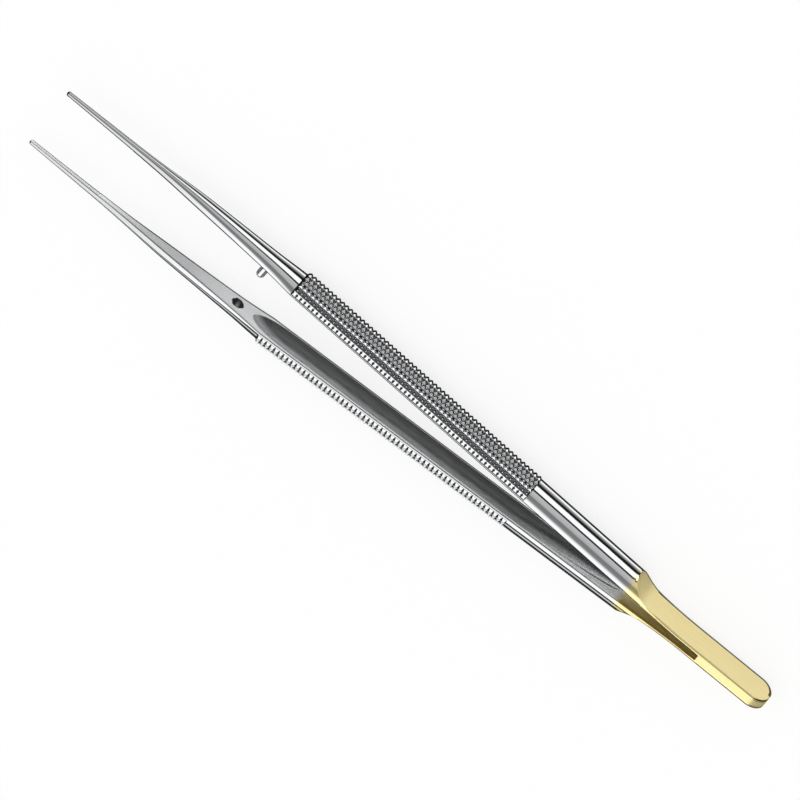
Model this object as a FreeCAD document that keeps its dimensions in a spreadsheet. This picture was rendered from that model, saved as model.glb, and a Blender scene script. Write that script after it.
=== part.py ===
import FreeCAD, Part
import math
import os
import Sketcher

# Atraumatic forceps, round-handle spring type, lying on their side flats.
# X runs from the tail to the tips, Y is the way the jaws open, Z is up.
# Every piece is drawn about the centre line with x = 0 at the tail end, and its
# Placement sets the middle of the length over the origin and the flats on z = 0.

SIZES = [
    ("length", 180.0, "tail end to tips"),
    ("handle_width", 7.2, "width of the handle and the tail, flat to flat"),
    ("bar_height", 3.8, "inner face to the crown of the half-round bar"),
    ("bar_flank", 0.3, "flat side below the round back"),
    ("opening_angle", 2.95, "how far each handle stands off the centre line"),
    ("spacer_thickness", 1.35, "plate welded between the two tails"),
    ("spacer_length", 16.0, "tail end to the square end of the slot"),
    ("leaf_thickness", 0.6, "flat spring of each arm"),
    ("flex_point", 22.0, "where each flat spring bends"),
    ("parting_gap", 0.04, "hairline at the bend, so that the two sides turn freely"),
    ("leaf_run", 6.6, "flat spring past the bend"),
    ("scoop_length", 6.4, "hollow-ground run from the flat spring to the bar"),
    ("tail_flat", 0.6, "straight stretch at the end of the tail, between its round corners"),
    ("tail_bevel", 0.25, "rounded edge of the tail"),
    ("groove_start", 14.0, "hollow of the bar, from the bend"),
    ("groove_taper", 24.0, "long run-out of the hollow towards the tail"),
    ("groove_end", 103.1, "front of the hollow, from the bend"),
    ("groove_nose", 8.4, "rounded front of the hollow"),
    ("groove_width", 5.9, "hollow across the inner face"),
    ("groove_depth", 2.55, "hollow at its deepest"),
    ("knurl_start", 39.4, "knurled part of the round back, from the bend"),
    ("knurl_end", 99.8, "front shoulder, where the taper begins"),
    ("knurl_pitch", 1.04, "from stud to stud along the bar"),
    ("knurl_rows", 10, "rows of studs round the back"),
    ("knurl_height", 0.45, "studs over their valleys"),
    ("knurl_sink", 0.08, "valleys below the smooth back"),
    ("knurl_margin", 0.15, "smooth strip beside the outer rows"),
    ("shoulder_width", 7.0, "just in front of the knurl"),
    ("shoulder_height", 3.3, ""),
    ("shoulder_flank", 0.3, ""),
    ("neck_at", 11.6419, "at the guide pin, in % of the taper from shoulder to tip"),
    ("neck_width", 5.45, ""),
    ("neck_height", 2.95, ""),
    ("neck_flank", 0.3, ""),
    ("throat_at", 26.0231, "the taper grows straight here, in %"),
    ("throat_width", 4.28, ""),
    ("throat_height", 2.7, ""),
    ("throat_flank", 0.5, ""),
    ("waist_at", 42.2875, "middle of the straight taper, in %"),
    ("waist_width", 3.15, ""),
    ("waist_height", 2.4, ""),
    ("waist_flank", 0.8, ""),
    ("shank_at", 59.408, "where the slim tip begins, in %"),
    ("shank_width", 1.8, ""),
    ("shank_height", 1.75, ""),
    ("shank_flank", 0.95, ""),
    ("taper_foot_at", 67.9682, "the taper ends here, in %"),
    ("taper_foot_width", 1.47, ""),
    ("taper_foot_height", 1.47, ""),
    ("taper_foot_flank", 0.83, ""),
    ("slim_at", 79.0965, "middle of the slim tip, in %"),
    ("slim_width", 1.25, ""),
    ("slim_height", 1.25, ""),
    ("slim_flank", 0.7, ""),
    ("tip_width", 0.95, "across the tip"),
    ("tip_height", 0.9, "thickness of the tip"),
    ("tip_flank", 0.5, ""),
    ("tip_round", 0.3, "rounding at the very end"),
    ("bend_run", 4.0, "length of the first, tighter curve of the taper"),
    ("shoulder_bend", 1.35, "how far the arm has turned in after that curve"),
    ("tip_bend", 2.45, "how far it has turned in at the tip"),
    ("pin_station", 106.8, "guide pin and guide hole, from the bend"),
    ("pin_diameter", 1.8, ""),
    ("pin_reach", 3.9, "guide pin proud of the inner face"),
    ("pin_seat", 1.6, "guide pin held in the arm"),
    ("seat_clearance", 0.01, "round the guide pin in its seat"),
    ("hole_clearance", 0.375, "round the guide pin in the guide hole"),
]

doc = FreeCAD.newDocument("forceps")
sheet = doc.addObject("Spreadsheet::Sheet", "sizes")
for row, (alias, value, note) in enumerate(SIZES, start=1):
    sheet.set("A%d" % row, note)
    sheet.set("B%d" % row, str(value))
    sheet.setAlias("B%d" % row, alias)
doc.recompute()

ARM_REACH = "(sizes.length - sizes.flex_point) / cos(sizes.opening_angle * 1 deg)"


def bind(thing, links):
    """Tie each property of a thing to an expression on the sheet."""
    for path, expression in links.items():
        thing.setExpression(path, expression)


def origin_plane(body, role):
    """Find one of a body's own origin planes."""
    for feature in body.Origin.OriginFeatures:
        if feature.Role == role:
            return feature
    raise RuntimeError("no plane called " + role)


def new_body(name):
    """Start a PartDesign body."""
    return doc.addObject("PartDesign::Body", name)


def new_sketch(body, name, role):
    """Start a sketch on one of the body's origin planes."""
    sketch = body.newObject("Sketcher::SketchObject", name)
    sketch.AttachmentSupport = [(origin_plane(body, role), "")]
    sketch.MapMode = "FlatFace"
    return sketch


def point(x, y):
    return FreeCAD.Vector(x, y, 0)


def segment(sketch, start, end):
    """Add a straight edge and give its number."""
    return sketch.addGeometry(Part.LineSegment(start, end), False)


def chain(sketch, edges):
    """Join a run of edges end to start."""
    for here, after in zip(edges, edges[1:]):
        sketch.addConstraint(Sketcher.Constraint("Coincident", here, 2, after, 1))


def join(sketch, edges):
    """Join a closed run of edges end to start."""
    chain(sketch, edges + edges[:1])


def smooth(sketch, edges):
    """Join a run of edges end to start, each tangent to the one before."""
    for here, after in zip(edges, edges[1:]):
        sketch.addConstraint(Sketcher.Constraint("Tangent", here, 2, after, 1))


def size(sketch, name, kind, *where):
    """Add one named dimension to a sketch."""
    number = sketch.addConstraint(Sketcher.Constraint(kind, *where))
    sketch.renameConstraint(number, name)


def value(alias):
    return float(sheet.get(alias))


def d_section(body, name, at, width, height, flank, drop="0"):
    """Half-round section: flat inner face, short flat sides and a round back.

    The sketch's first axis is the thickness and its second the width.
    """
    half = value(width) / 2
    side = value(flank)
    crown = value(height)
    rise = crown - side
    radius = (half * half + rise * rise) / (2 * rise)
    sketch = new_sketch(body, name, "YZ_Plane")
    inner = segment(sketch, point(0, half), point(0, -half))
    low = segment(sketch, point(0, -half), point(side, -half))
    sweep = math.atan2(half, side - (crown - radius))
    circle = Part.Circle(point(crown - radius, 0), FreeCAD.Vector(0, 0, 1), radius)
    back = sketch.addGeometry(Part.ArcOfCircle(circle, -sweep, sweep), False)
    high = segment(sketch, point(side, half), point(0, half))
    join(sketch, [inner, low, back, high])
    sketch.addConstraint(Sketcher.Constraint("PointOnObject", inner, 1, -2))
    sketch.addConstraint(Sketcher.Constraint("Symmetric", inner, 1, inner, 2, -1))
    sketch.addConstraint(Sketcher.Constraint("Horizontal", low))
    sketch.addConstraint(Sketcher.Constraint("Horizontal", high))
    sketch.addConstraint(Sketcher.Constraint("PointOnObject", back, 3, -1))
    size(sketch, "width", "DistanceY", inner, 2, inner, 1, 2 * half)
    size(sketch, "flank", "DistanceX", low, 1, low, 2, side)
    size(sketch, "round_back", "Radius", back, radius)
    rise_text = "(sizes.%s - sizes.%s)" % (height, flank)
    bind(sketch, {
        "Constraints.width": "sizes." + width,
        "Constraints.flank": "sizes." + flank,
        "Constraints.round_back":
            "((sizes.%s / 2) ^ 2 + %s ^ 2) / (2 * %s)" % (width, rise_text, rise_text),
        "AttachmentOffset.Base.x": "-(%s)" % drop,
        "AttachmentOffset.Base.z": at,
    })
    return sketch


def turned_in(at):
    """How far the inner face has come in from the handle's line at a station.

    It follows a tighter curve after the root of the taper and a long one to the tip.
    """
    root = "sizes.knurl_end"
    first = "tan(sizes.shoulder_bend * 1 deg)"
    last = "tan(sizes.tip_bend * 1 deg)"
    run = "sizes.bend_run"
    past = "(%s - %s - %s)" % (at, root, run)
    long_run = "(%s - %s - %s)" % (ARM_REACH, root, run)
    inside = "%s * (%s - %s) ^ 2 / (2 * %s)" % (first, at, root, run)
    outside = "%s * %s / 2 + %s * %s + (%s - %s) * %s ^ 2 / (2 * %s)" % (
        first, run, first, past, last, first, past, long_run)
    return "%s < 0 ? %s : %s" % (past, inside, outside)


# One arm from the bend to the tip, drawn straight along X with its inner face on
# the plane y = 0. Both arms are made from it, one as it is and one mirrored.

arm_form = new_body("arm_form")

bar_end = d_section(arm_form, "bar_end", "sizes.parting_gap / 2",
                    "handle_width", "bar_height", "bar_flank")
bar = arm_form.newObject("PartDesign::Pad", "bar")
bar.Profile = bar_end
bind(bar, {"Length": "sizes.knurl_end - sizes.parting_gap / 2"})

STATIONS = ["neck", "throat", "waist", "shank", "taper_foot", "slim"]
TAPER = "(%s - sizes.knurl_end)" % ARM_REACH
shoulder_section = d_section(arm_form, "shoulder_section", "sizes.knurl_end",
                             "shoulder_width", "shoulder_height", "shoulder_flank")
front_sections = []
for station in STATIONS:
    at = "(sizes.knurl_end + sizes.%s_at / 100 * %s)" % (station, TAPER)
    front_sections.append(d_section(
        arm_form, station + "_section", at, station + "_width",
        station + "_height", station + "_flank", turned_in(at)))
front_sections.append(d_section(
    arm_form, "tip_section", ARM_REACH, "tip_width", "tip_height", "tip_flank",
    turned_in(ARM_REACH)))
doc.recompute()

front = arm_form.newObject("PartDesign::AdditiveLoft", "front")
front.Profile = shoulder_section
front.Sections = front_sections
front.Ruled = True
doc.recompute()


def edges_near(shape, where):
    """Names of the edges that lie wholly at the places a test picks."""
    names = []
    for number, edge in enumerate(shape.Edges, start=1):
        if all(where(vertex.Point) for vertex in edge.Vertexes):
            names.append("Edge%d" % number)
    return names


arm_end = max(vertex.X for vertex in front.Shape.Vertexes)
tip = arm_form.newObject("PartDesign::Fillet", "tip")
tip.Base = (front, edges_near(front.Shape, lambda spot: spot.x > arm_end - 0.001))
bind(tip, {"Radius": "sizes.tip_round"})
doc.recompute()

# The flat spring runs out of the bar through a hollow-ground scoop.
scoop_profile = new_sketch(arm_form, "scoop_profile", "XY_Plane")
CUT_OVER = 1.0
leaf = value("leaf_thickness")
leaf_end = value("leaf_run")
climb = value("bar_height") - leaf
run_up = value("scoop_length")
scoop_radius = (run_up ** 2 + climb ** 2) / (2 * climb)
ramp_turn = math.asin(run_up / scoop_radius)
flat = segment(scoop_profile, point(-CUT_OVER, leaf), point(leaf_end, leaf))
ramp_circle = Part.Circle(point(leaf_end, leaf + scoop_radius),
                          FreeCAD.Vector(0, 0, 1), scoop_radius)
ramp = scoop_profile.addGeometry(Part.ArcOfCircle(
    ramp_circle, -math.pi / 2, -math.pi / 2 + ramp_turn), False)
crest = point(leaf_end + run_up, value("bar_height"))
wall = segment(scoop_profile, crest, crest + point(0, CUT_OVER))
roof = segment(scoop_profile, crest + point(0, CUT_OVER),
               point(-CUT_OVER, crest.y + CUT_OVER))
back_wall = segment(scoop_profile, point(-CUT_OVER, crest.y + CUT_OVER),
                    point(-CUT_OVER, leaf))
smooth(scoop_profile, [flat, ramp])
chain(scoop_profile, [ramp, wall, roof, back_wall, flat])
scoop_profile.addConstraint(Sketcher.Constraint("Horizontal", flat))
scoop_profile.addConstraint(Sketcher.Constraint("Vertical", wall))
scoop_profile.addConstraint(Sketcher.Constraint("Horizontal", roof))
scoop_profile.addConstraint(Sketcher.Constraint("Vertical", back_wall))
size(scoop_profile, "start", "DistanceX", flat, 1, -1, 1, CUT_OVER)
size(scoop_profile, "leaf", "DistanceY", -1, 1, flat, 1, leaf)
size(scoop_profile, "leaf_end", "DistanceX", -1, 1, flat, 2, leaf_end)
size(scoop_profile, "scoop", "DistanceX", flat, 2, ramp, 2, run_up)
size(scoop_profile, "crest", "DistanceY", -1, 1, ramp, 2, crest.y)
size(scoop_profile, "over", "DistanceY", wall, 1, wall, 2, CUT_OVER)
bind(scoop_profile, {
    "Constraints.leaf": "sizes.leaf_thickness",
    "Constraints.leaf_end": "sizes.leaf_run",
    "Constraints.scoop": "sizes.scoop_length",
    "Constraints.crest": "sizes.bar_height",
})
scoop = arm_form.newObject("PartDesign::Pocket", "scoop")
scoop.Profile = scoop_profile
scoop.Midplane = True
bind(scoop, {"Length": "sizes.handle_width + 2"})
doc.recompute()

# The hollow inside the bar is one round channel with a rounded front. Its axis lies a
# little outside the inner face. Towards the tail the same round tool is led out of
# the face at a small angle, which gives the hollow its long pointed end. A ball of
# the same radius, where the two axes cross, makes the turn between them smooth.
GROOVE_RADIUS = "((sizes.groove_width / 2) ^ 2 + sizes.groove_depth ^ 2) / (2 * sizes.groove_depth)"
GROOVE_AXIS = "sizes.groove_depth - " + GROOVE_RADIUS
RUN_OUT_ANGLE = "atan(sizes.groove_depth / sizes.groove_taper)"

channel = arm_form.newObject("PartDesign::SubtractiveCylinder", "channel")
channel.Placement.Rotation = FreeCAD.Rotation(FreeCAD.Vector(0, 1, 0), 90)
bind(channel, {
    "Radius": GROOVE_RADIUS,
    "Height": "sizes.groove_end - sizes.groove_nose - sizes.groove_start - sizes.groove_taper",
    "Placement.Base.x": "sizes.groove_start + sizes.groove_taper",
    "Placement.Base.y": GROOVE_AXIS,
})
doc.recompute()
channel_nose = arm_form.newObject("PartDesign::SubtractiveEllipsoid", "channel_nose")
bind(channel_nose, {
    "Radius1": GROOVE_RADIUS,
    "Radius2": "sizes.groove_nose",
    "Radius3": GROOVE_RADIUS,
    "Placement.Base.x": "sizes.groove_end - sizes.groove_nose",
    "Placement.Base.y": GROOVE_AXIS,
})
doc.recompute()
channel_turn = arm_form.newObject("PartDesign::SubtractiveSphere", "channel_turn")
bind(channel_turn, {
    "Radius": GROOVE_RADIUS,
    "Placement.Base.x": "sizes.groove_start + sizes.groove_taper",
    "Placement.Base.y": GROOVE_AXIS,
})
doc.recompute()
run_out = arm_form.newObject("PartDesign::SubtractiveCylinder", "channel_run_out")
run_out.Placement.Rotation = FreeCAD.Rotation(FreeCAD.Vector(0, -1, 0), 90)
bind(run_out, {
    "Radius": GROOVE_RADIUS,
    "Height": "sizes.groove_taper + 3 * sizes.groove_depth",
    "Placement.Rotation.Axis.x": "sin(%s)" % RUN_OUT_ANGLE,
    "Placement.Rotation.Axis.y": "-cos(%s)" % RUN_OUT_ANGLE,
    "Placement.Base.x": "sizes.groove_start + sizes.groove_taper",
    "Placement.Base.y": GROOVE_AXIS,
})
doc.recompute()


# The knurl: four-sided studs in straight rows round the back, cut by V-grooves along
# the bar and round it. The smooth back is cut away to a seat with one flat for each
# row, and a sleeve that carries the studs fills it again.
SEAT_DEPTH = 0.15


def round_back():
    """Centre height, radius and half the sweep of the bar's round back."""
    half = value("handle_width") / 2
    rise = value("bar_height") - value("bar_flank")
    radius = (half * half + rise * rise) / (2 * rise)
    centre = value("bar_height") - radius
    return centre, radius, math.atan2(half, value("bar_flank") - centre)


BACK_CENTRE, BACK_RADIUS, BACK_SWEEP = round_back()
KNURL_SWEEP = BACK_SWEEP - value("knurl_margin") / BACK_RADIUS
KNURL_ROWS = int(value("knurl_rows"))
KNURL_STUDS = round((value("knurl_end") - value("knurl_start")) / value("knurl_pitch"))
VALLEY = BACK_RADIUS - value("knurl_sink")
CREST = VALLEY + value("knurl_height")
SEAT = VALLEY - SEAT_DEPTH


def on_back(stud, row, radius):
    """Point over the back, counted in studs from the rear and rows from one side."""
    run = value("knurl_end") - value("knurl_start")
    turn = KNURL_SWEEP * (2 * row / KNURL_ROWS - 1)
    return FreeCAD.Vector(value("knurl_start") + run * stud / KNURL_STUDS,
                          BACK_CENTRE + radius * math.cos(turn), radius * math.sin(turn))


def flat_face(corners):
    return Part.Face(Part.makePolygon(corners + corners[:1]))


def ring(stud, radius):
    """The corners of the rows at one station, from side to side."""
    return [on_back(stud, row, radius) for row in range(KNURL_ROWS + 1)]


def knurl_seat():
    """What is cut away from the smooth back."""
    outside = [on_back(0, 0, BACK_RADIUS * 1.5), on_back(0, KNURL_ROWS, BACK_RADIUS * 1.5)]
    outside += [spot + FreeCAD.Vector(0, BACK_RADIUS * 1.5, 0) for spot in reversed(outside)]
    loop = ring(0, SEAT) + [outside[1], outside[2], outside[3], outside[0]]
    run = value("knurl_end") - value("knurl_start")
    return flat_face(loop).extrude(FreeCAD.Vector(run, 0, 0))


def knurl_sleeve():
    """The closed sleeve with its studs: each is a pyramid over its own rectangle."""
    last = KNURL_STUDS
    faces = []
    for row in range(KNURL_ROWS):
        faces.append(flat_face([on_back(0, row, SEAT), on_back(last, row, SEAT),
                                on_back(last, row + 1, SEAT), on_back(0, row + 1, SEAT)]))
        for stud in range(KNURL_STUDS):
            base = [on_back(stud, row, VALLEY), on_back(stud + 1, row, VALLEY),
                    on_back(stud + 1, row + 1, VALLEY), on_back(stud, row + 1, VALLEY)]
            peak = on_back(stud + 0.5, row + 0.5, CREST)
            for here, after in zip(base, base[1:] + base[:1]):
                faces.append(flat_face([here, after, peak]))
    for row in (0, KNURL_ROWS):
        valley_line = [on_back(stud, row, VALLEY) for stud in range(KNURL_STUDS + 1)]
        faces.append(flat_face(valley_line + [on_back(last, row, SEAT), on_back(0, row, SEAT)]))
    for stud in (0, last):
        faces.append(flat_face(ring(stud, VALLEY) + ring(stud, SEAT)[::-1]))
    shell = Part.makeShell(faces)
    shell.sewShape()
    return Part.makeSolid(shell)


def between_flats(sleeve):
    """The outer rows are ground off level with the two flats of the handle."""
    wide = value("handle_width")
    run = value("knurl_end") - value("knurl_start")
    slab = Part.makeBox(run + 2, 2 * wide, wide,
                        FreeCAD.Vector(value("knurl_start") - 1, -wide / 2, -wide / 2))
    return sleeve.common(slab)


def form(name, shape):
    """Keep a shape that is worked out from the sheet as an object of its own."""
    made = doc.addObject("Part::Feature", name)
    made.Shape = shape
    return made


seated_form = doc.addObject("Part::Cut", "seated_form")
seated_form.Base = arm_form
seated_form.Tool = form("knurl_seat", knurl_seat())
knurled_form = doc.addObject("Part::Fuse", "knurled_form")
knurled_form.Base = seated_form
knurled_form.Tool = form("knurl_sleeve", between_flats(knurl_sleeve()))
doc.recompute()

# The guide hole goes through one arm and the guide pin sits in the other.
PIN_FACE = "(%s)" % turned_in("sizes.pin_station")
LEAF_MIDDLE = "sizes.leaf_thickness / 2"


def drill(name, radius, low, high):
    """A cylinder along Y at the guide pin's station, from one depth to another."""
    tool = doc.addObject("Part::Cylinder", name)
    tool.Placement.Rotation = FreeCAD.Rotation(FreeCAD.Vector(1, 0, 0), -90)
    bind(tool, {
        "Radius": radius,
        "Height": "%s - (%s)" % (high, low),
        "Placement.Base.x": "sizes.pin_station",
        "Placement.Base.y": low,
    })
    return tool


def open_out(arm, side):
    """Place an arm at its bend and turn it out by the opening angle."""
    angle = "(sizes.opening_angle * 1 deg)"
    bind(arm, {
        "Placement.Base.x":
            "sizes.flex_point - sizes.length / 2 + %s * sin(%s)" % (LEAF_MIDDLE, angle),
        "Placement.Base.y": "%d * (sizes.spacer_thickness / 2 + %s * (1 - cos(%s)))"
            % (side, LEAF_MIDDLE, angle),
        "Placement.Base.z": "sizes.handle_width / 2",
        "Placement.Rotation.Angle": "%d * sizes.opening_angle" % side,
    })


def rest_on_flat(thing):
    """Bring a piece drawn on the centre line to its place over the origin."""
    bind(thing, {
        "Placement.Base.x": "-sizes.length / 2",
        "Placement.Base.z": "sizes.handle_width / 2",
    })


def cut_from(name, base, tool):
    """A boolean cut under a sub-part's own name."""
    cut = doc.addObject("Part::Cut", name)
    cut.Base = base
    cut.Tool = tool
    return cut


guide_hole = drill("guide_hole", "sizes.pin_diameter / 2 + sizes.hole_clearance",
                   "-sizes.bar_height", "sizes.bar_height * 2")
hole_arm = cut_from("hole_arm", knurled_form, guide_hole)

arm_mirror = doc.addObject("Part::Mirroring", "arm_mirror")
arm_mirror.Source = knurled_form
arm_mirror.Normal = FreeCAD.Vector(0, 1, 0)
pin_socket = drill("pin_socket", "sizes.pin_diameter / 2 + sizes.seat_clearance",
                   PIN_FACE + " - sizes.pin_seat", "sizes.bar_height")
pin_arm = cut_from("pin_arm", arm_mirror, pin_socket)

for arm, side in ((hole_arm, 1), (pin_arm, -1)):
    arm.Placement.Rotation = FreeCAD.Rotation(FreeCAD.Vector(0, 0, 1), side)
    open_out(arm, side)

# Guide pin: a turned pin with a ball end, pressed into its arm.
guide_pin = new_body("guide_pin")
pin_profile = new_sketch(guide_pin, "pin_profile", "XY_Plane")
pin_radius = value("pin_diameter") / 2
seat = value("pin_seat")
reach = value("pin_reach")
foot = segment(pin_profile, point(0, -seat), point(pin_radius, -seat))
wall = segment(pin_profile, point(pin_radius, -seat), point(pin_radius, reach - pin_radius))
ball_circle = Part.Circle(point(0, reach - pin_radius), FreeCAD.Vector(0, 0, 1), pin_radius)
ball = pin_profile.addGeometry(Part.ArcOfCircle(ball_circle, 0, math.pi / 2), False)
middle = segment(pin_profile, point(0, reach), point(0, -seat))
chain(pin_profile, [middle, foot, wall])
chain(pin_profile, [ball, middle])
pin_profile.addConstraint(Sketcher.Constraint("Horizontal", foot))
pin_profile.addConstraint(Sketcher.Constraint("Vertical", wall))
pin_profile.addConstraint(Sketcher.Constraint("PointOnObject", middle, 1, -2))
pin_profile.addConstraint(Sketcher.Constraint("PointOnObject", middle, 2, -2))
pin_profile.addConstraint(Sketcher.Constraint("PointOnObject", ball, 3, -2))
pin_profile.addConstraint(Sketcher.Constraint("Tangent", wall, 2, ball, 1))
size(pin_profile, "radius", "DistanceX", foot, 1, foot, 2, pin_radius)
size(pin_profile, "reach", "DistanceY", -1, 1, ball, 2, reach)
size(pin_profile, "seat", "DistanceY", foot, 1, -1, 1, seat)
bind(pin_profile, {
    "Constraints.radius": "sizes.pin_diameter / 2",
    "Constraints.reach": "sizes.pin_reach",
    "Constraints.seat": "sizes.pin_seat",
})
turned_pin = guide_pin.newObject("PartDesign::Revolution", "turned_pin")
turned_pin.Profile = pin_profile
turned_pin.ReferenceAxis = (pin_profile, ["V_Axis"])
turned_pin.Angle = 360
guide_pin.Placement.Rotation = FreeCAD.Rotation(FreeCAD.Vector(0, 0, 1), -1)
ALONG = "sizes.pin_station"
ACROSS = "(%s - %s)" % (PIN_FACE, LEAF_MIDDLE.replace("sizes", "-sizes"))
TURN = "(sizes.opening_angle * 1 deg)"
bind(guide_pin, {
    "Placement.Base.x": "sizes.flex_point - sizes.length / 2 + %s * cos(%s) + %s * sin(%s)"
        % (ALONG, TURN, ACROSS, TURN),
    "Placement.Base.y": "-sizes.spacer_thickness / 2 - %s + %s * cos(%s) - %s * sin(%s)"
        % (LEAF_MIDDLE, ACROSS, TURN, ALONG, TURN),
    "Placement.Base.z": "sizes.handle_width / 2",
    "Placement.Rotation.Angle": "-sizes.opening_angle",
})


# The tail: a spacer plate between the flat springs of the two arms, welded and
# ground flush, with a rounded end.

def tail_outline(body, name, reach):
    """Outline of the tail from its rounded end to a square end, seen along Y."""
    sketch = new_sketch(body, name, "XZ_Plane")
    half = value("handle_width") / 2
    flat_end = value("tail_flat") / 2
    corner = half - flat_end
    end = value(reach[0]) - reach[1]
    low = segment(sketch, point(corner, -half), point(end, -half))
    front_end = segment(sketch, point(end, -half), point(end, half))
    high = segment(sketch, point(end, half), point(corner, half))
    centre = FreeCAD.Vector(0, 0, 1)
    top_circle = Part.Circle(point(corner, flat_end), centre, corner)
    top_round = sketch.addGeometry(
        Part.ArcOfCircle(top_circle, math.pi / 2, math.pi), False)
    back = segment(sketch, point(0, flat_end), point(0, -flat_end))
    low_circle = Part.Circle(point(corner, -flat_end), centre, corner)
    low_round = sketch.addGeometry(
        Part.ArcOfCircle(low_circle, math.pi, math.pi * 3 / 2), False)
    chain(sketch, [low, front_end, high])
    smooth(sketch, [high, top_round, back, low_round, low])
    sketch.addConstraint(Sketcher.Constraint("Horizontal", low))
    sketch.addConstraint(Sketcher.Constraint("Horizontal", high))
    sketch.addConstraint(Sketcher.Constraint("Vertical", back))
    sketch.addConstraint(Sketcher.Constraint("Equal", top_round, low_round))
    sketch.addConstraint(Sketcher.Constraint("Symmetric", front_end, 1, front_end, 2, -1))
    sketch.addConstraint(Sketcher.Constraint("PointOnObject", back, 1, -2))
    size(sketch, "width", "DistanceY", front_end, 1, front_end, 2, 2 * half)
    size(sketch, "reach", "DistanceX", -1, 1, front_end, 1, end)
    size(sketch, "round_end", "Radius", top_round, corner)
    bind(sketch, {
        "Constraints.width": "sizes.handle_width",
        "Constraints.round_end": "(sizes.handle_width - sizes.tail_flat) / 2",
    })
    return sketch


spacer = new_body("tail_spacer")
spacer_outline = tail_outline(spacer, "spacer_outline", ("spacer_length", 0))
spacer_outline.setExpression("Constraints.reach", "sizes.spacer_length")
spacer_plate = spacer.newObject("PartDesign::Pad", "spacer_plate")
spacer_plate.Profile = spacer_outline
spacer_plate.Midplane = True
bind(spacer_plate, {"Length": "sizes.spacer_thickness"})
rest_on_flat(spacer)

hole_arm_tail = new_body("hole_arm_tail")
leaf_outline = tail_outline(hole_arm_tail, "leaf_outline",
                            ("flex_point", value("parting_gap") / 2))
bind(leaf_outline, {
    "Constraints.reach": "sizes.flex_point - sizes.parting_gap / 2",
    "AttachmentOffset.Base.z": "-sizes.spacer_thickness / 2",
})
leaf_plate = hole_arm_tail.newObject("PartDesign::Pad", "leaf_plate")
leaf_plate.Profile = leaf_outline
leaf_plate.Reversed = True
bind(leaf_plate, {"Length": "sizes.leaf_thickness"})
doc.recompute()

outside = max(vertex.Y for vertex in leaf_plate.Shape.Vertexes)
ground_edge = hole_arm_tail.newObject("PartDesign::Fillet", "ground_edge")
ground_edge.Base = (leaf_plate, [
    name for name in edges_near(leaf_plate.Shape, lambda spot: spot.y > outside - 0.001)
    if leaf_plate.Shape.getElement(name).BoundBox.XMin < value("spacer_length")])
bind(ground_edge, {"Radius": "sizes.tail_bevel"})
doc.recompute()

pin_arm_tail = doc.addObject("Part::Mirroring", "pin_arm_tail")
pin_arm_tail.Source = hole_arm_tail
pin_arm_tail.Normal = FreeCAD.Vector(0, 1, 0)
rest_on_flat(hole_arm_tail)
doc.recompute()

PARTS = {
    "pin_arm": pin_arm,
    "hole_arm": hole_arm,
    "guide_pin": guide_pin,
    "pin_arm_tail": pin_arm_tail,
    "hole_arm_tail": hole_arm_tail,
    "tail_spacer": spacer,
}


def check_document():
    """Stop if any feature has failed."""
    for thing in doc.Objects:
        if "Invalid" in thing.State or "Error" in thing.State:
            raise RuntimeError("%s failed: %s" % (thing.Name, thing.State))


def check_part(thing):
    """Stop unless a sub-part is one valid solid."""
    shape = thing.Shape
    if shape.isNull() or not shape.isValid() or len(shape.Solids) != 1:
        raise RuntimeError(thing.Label + " is not one valid solid")


check_document()
os.makedirs("parts", exist_ok=True)
for name, thing in PARTS.items():
    thing.Label = name
    check_part(thing)
for name, thing in PARTS.items():
    thing.Shape.exportStep("parts/%s.step" % name)
    box = thing.Shape.optimalBoundingBox()
    print("%-14s %8.2f mm3  x %.3f %.3f  y %.3f %.3f  z %.3f %.3f" % (
        name, thing.Shape.Volume, box.XMin, box.XMax, box.YMin, box.YMax,
        box.ZMin, box.ZMax))
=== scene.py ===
# %% [markdown]
# # Dressing a pair of atraumatic forceps
# The forceps are two polished steel arms with round knurled handles, welded
# together at a gold-plated tail. The imported model gives every real size: this
# script only gives the pieces their finish and the fine forms that a photograph
# shows, such as the knurl, the serrated tips and the ground edges. The first step
# loads that model as a fixed frame.

# %% Load the frame
import math
import bpy
import bmesh
from mathutils import Matrix, Vector


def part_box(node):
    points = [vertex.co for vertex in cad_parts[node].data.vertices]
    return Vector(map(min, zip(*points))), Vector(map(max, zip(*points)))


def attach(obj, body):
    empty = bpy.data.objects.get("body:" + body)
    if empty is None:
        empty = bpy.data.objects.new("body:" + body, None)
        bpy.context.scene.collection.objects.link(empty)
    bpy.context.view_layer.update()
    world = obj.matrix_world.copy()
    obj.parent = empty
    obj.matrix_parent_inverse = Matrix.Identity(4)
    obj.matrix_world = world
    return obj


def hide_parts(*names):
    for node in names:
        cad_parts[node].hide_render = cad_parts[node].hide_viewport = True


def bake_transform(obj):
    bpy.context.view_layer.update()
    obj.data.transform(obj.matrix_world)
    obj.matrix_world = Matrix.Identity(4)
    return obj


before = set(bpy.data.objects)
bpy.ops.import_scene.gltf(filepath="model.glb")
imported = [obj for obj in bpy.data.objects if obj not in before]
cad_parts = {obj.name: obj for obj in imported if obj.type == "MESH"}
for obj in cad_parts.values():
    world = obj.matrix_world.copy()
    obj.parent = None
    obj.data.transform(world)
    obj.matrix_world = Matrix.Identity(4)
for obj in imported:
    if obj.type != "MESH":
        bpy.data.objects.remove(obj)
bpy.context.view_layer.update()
MM = 0.001

# %% [markdown]
# ## The camera
# The photograph was taken with a long lens, nearly square to the long axis, from
# 36 degrees off the top. The forceps lie across the picture from the tips at the
# top left to the tail at the bottom right. The camera is built from those facts:
# where the middle of the forceps falls in the picture, which way the long axis
# runs there, and how many pixels one millimetre takes.

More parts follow.
